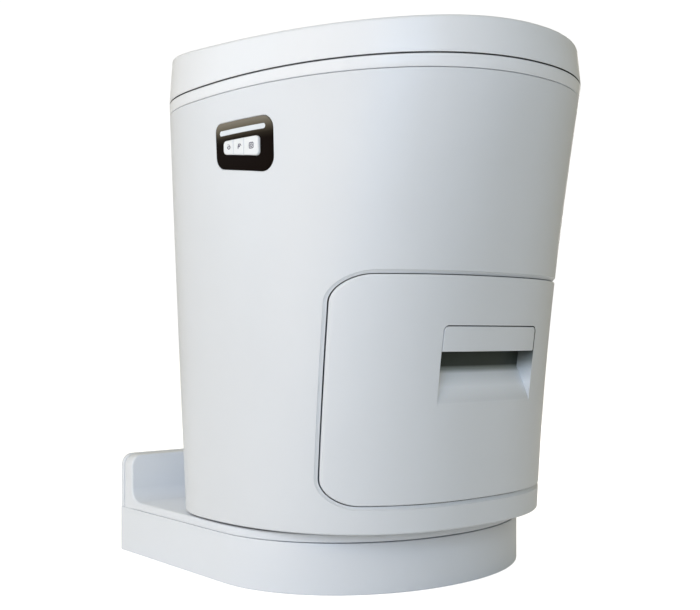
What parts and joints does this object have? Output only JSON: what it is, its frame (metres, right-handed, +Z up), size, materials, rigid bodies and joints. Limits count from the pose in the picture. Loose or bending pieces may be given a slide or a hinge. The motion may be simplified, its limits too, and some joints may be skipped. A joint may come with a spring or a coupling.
{
  "type": "bagging toilet",
  "caption": "Electric bagging toilet with a white oval body, lid, control panel and waste drawer on a low swivel base.",
  "frame": {"origin": "floor under the middle of the whole footprint", "axes": "+X to the side away from the control panel, front faces -Y, +Z up"},
  "size_m": [0.382, 0.4643, 0.549],
  "materials": {
    "casing_white": "satin moulded, very fine grain",
    "gloss_white": "glossy moulded",
    "base_white": "satin moulded",
    "inner_grey": "matte moulded",
    "panel_black": "glossy",
    "dark_plastic": "matte",
    "key_white": "satin",
    "steel": "drawn and plated",
    "rubber_dark": "soft",
    "silicone": "soft",
    "film": "translucent film",
    "light": "lit diffuser",
    "board_green": "solder mask"
  },
  "bodies": {
    "base": {"base_plinth": "base_white", "base_deck": "base_white", "rear_cover": "base_white", "power_inlet": "dark_plastic", "rubber_feet": "rubber_dark", "base_screws": "steel", "glide_pads": "inner_grey", "swivel_retainer": "steel", "retainer_screws": "steel"},
    "body": {"casing": "casing_white", "bottom_pan": "dark_plastic", "chassis": "inner_grey", "runner_rails": "steel", "top_frame": "inner_grey", "hinge_posts": "inner_grey", "hinge_pin": "steel", "seat_ring": "gloss_white", "seat_arms": "gloss_white", "seat_bumpers": "rubber_dark", "liner_cassette": "inner_grey", "liner_pack": "film", "liner_pouch": "film", "chute": "inner_grey", "jaw_frame": "steel", "guide_rods": "steel", "jaw_motors": "dark_plastic", "control_panel": "panel_black", "light_bar": "light", "control_board": "board_green", "tact_switches": "dark_plastic"},
    "lid": {"lid_shell": "gloss_white", "lid_inner": "gloss_white", "lid_arms": "gloss_white", "lid_bumpers": "rubber_dark"},
    "runner_middle": {"runner_middles": "steel"},
    "drawer": {"runner_slides": "steel", "door_front": "casing_white", "door_inner": "inner_grey", "door_gasket": "rubber_dark", "door_screws": "steel", "drawer_tray": "inner_grey", "waste_bin": "inner_grey", "paddle_pin": "steel", "latch_guide": "inner_grey"},
    "paddle": {"handle_paddle": "casing_white"},
    "latch": {"latch_bolt": "steel"},
    "front_jaw": {"front_jaw": "inner_grey", "silicone_strip": "silicone"},
    "rear_jaw": {"rear_jaw": "inner_grey", "heater_bar": "steel"},
    "left_screw": {"lead_screw_left": "steel"},
    "right_screw": {"lead_screw_right": "steel"},
    "key_front": {"button_front": "key_white"},
    "key_middle": {"button_middle": "key_white"},
    "key_rear": {"button_rear": "key_white"}
  },
  "joints": [
    {"name": "swivel", "type": "hinge", "parent": "base", "child": "body", "pos_m": [0, 0.03, 0.061], "axis": [0, 0, 1], "range_deg": [-25, 25]},
    {"name": "lid_lift", "type": "hinge", "parent": "body", "child": "lid", "pos_m": [0, 0.185, 0.5], "axis": [-1, 0, 0], "range_deg": [0, 95]},
    {"name": "drawer_slide", "type": "slide", "parent": "body", "child": "drawer", "axis": [0, -1, 0], "range_m": [0, 0.24]},
    {"name": "runner_middle_slide", "type": "slide", "parent": "body", "child": "runner_middle", "axis": [0, -1, 0], "range_m": [0, 0.12]},
    {"name": "paddle_pull", "type": "hinge", "parent": "drawer", "child": "paddle", "pos_m": [0, -0.17126, 0.2495], "axis": [-1, 0, 0], "range_deg": [0, 9], "stiffness_Nm_per_rad": 0.4, "springref_deg": -8.59},
    {"name": "latch_drop", "type": "slide", "parent": "drawer", "child": "latch", "axis": [0, 0, -1], "range_m": [0, 0.005]},
    {"name": "front_jaw_slide", "type": "slide", "parent": "body", "child": "front_jaw", "axis": [0, 1, 0], "range_m": [0, 0.0687]},
    {"name": "rear_jaw_slide", "type": "slide", "parent": "body", "child": "rear_jaw", "axis": [0, -1, 0], "range_m": [0, 0.0687]},
    {"name": "left_screw_turn", "type": "hinge", "parent": "body", "child": "left_screw", "pos_m": [-0.106, 0, 0.3545], "axis": [0, 1, 0], "range_deg": [0, 3091.5]},
    {"name": "right_screw_turn", "type": "hinge", "parent": "body", "child": "right_screw", "pos_m": [0.106, 0, 0.3545], "axis": [0, 1, 0], "range_deg": [0, 3091.5]},
    {"name": "key_front_press", "type": "slide", "parent": "body", "child": "key_front", "axis": [1, 0, 0], "range_m": [0, 0.0015], "stiffness_N_per_m": 600, "springref_m": -0.001},
    {"name": "key_middle_press", "type": "slide", "parent": "body", "child": "key_middle", "axis": [1, 0, 0], "range_m": [0, 0.0015], "stiffness_N_per_m": 600, "springref_m": -0.001},
    {"name": "key_rear_press", "type": "slide", "parent": "body", "child": "key_rear", "axis": [1, 0, 0], "range_m": [0, 0.0015], "stiffness_N_per_m": 600, "springref_m": -0.001}
  ],
  "couplings": [
    {"joint": "runner_middle_slide", "follows": "drawer_slide", "ratio": 0.5},
    {"joint": "paddle_pull", "follows": "latch_drop", "rad_per_m": 31.416},
    {"joint": "rear_jaw_slide", "follows": "front_jaw_slide", "ratio": 1},
    {"joint": "left_screw_turn", "follows": "front_jaw_slide", "rad_per_m": 785.4},
    {"joint": "right_screw_turn", "follows": "front_jaw_slide", "rad_per_m": 785.4}
  ]
}
